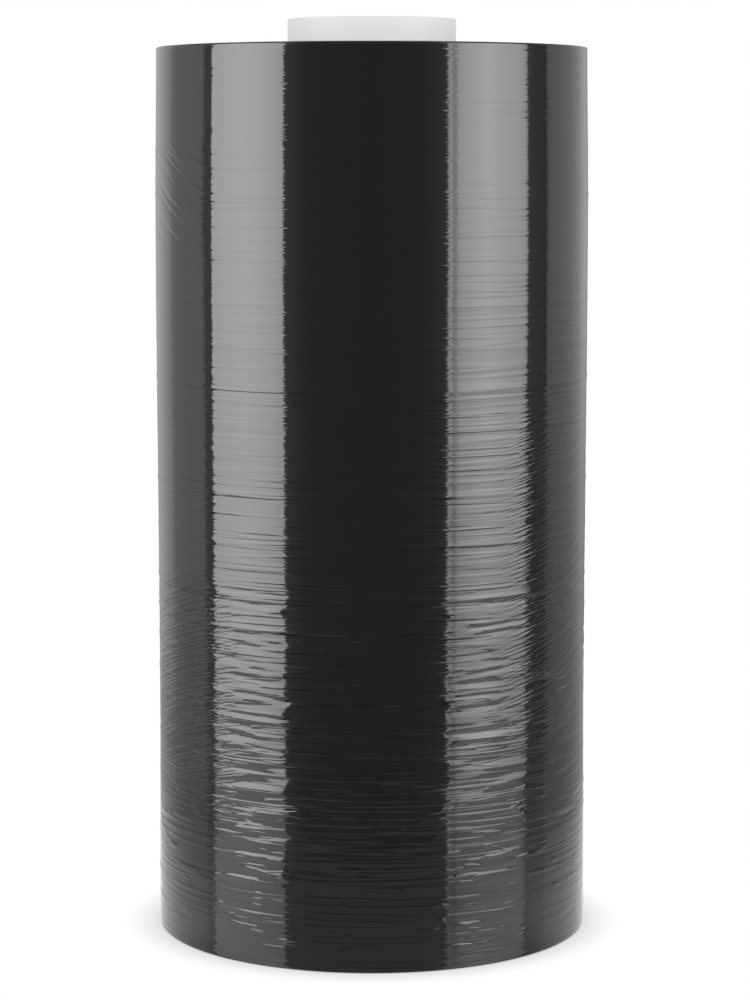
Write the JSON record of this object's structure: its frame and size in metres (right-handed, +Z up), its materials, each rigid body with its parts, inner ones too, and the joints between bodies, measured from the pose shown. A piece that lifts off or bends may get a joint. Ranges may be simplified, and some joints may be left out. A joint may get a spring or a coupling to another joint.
{
  "type": "stretch wrap roll",
  "caption": "Tall black roll of machine stretch film wound on a white paper core that stands proud at the top, for wrapping pallets and bundles.",
  "frame": {"origin": "on the roll's axis, in the plane that the roll stands on", "axes": "+Z up along the core, towards the end where the core stands proud; the turned shape has no front, so +X and +Y are free"},
  "size_m": [0.2506, 0.2506, 0.5245],
  "materials": {
    "black_film": "glossy cast polyethylene film, smooth above and puckered below",
    "white_core_paper": "matt white spiral-wound paper"
  },
  "bodies": {
    "root": {"film_roll": "black_film", "core": "white_core_paper"}
  },
  "joints": []
}
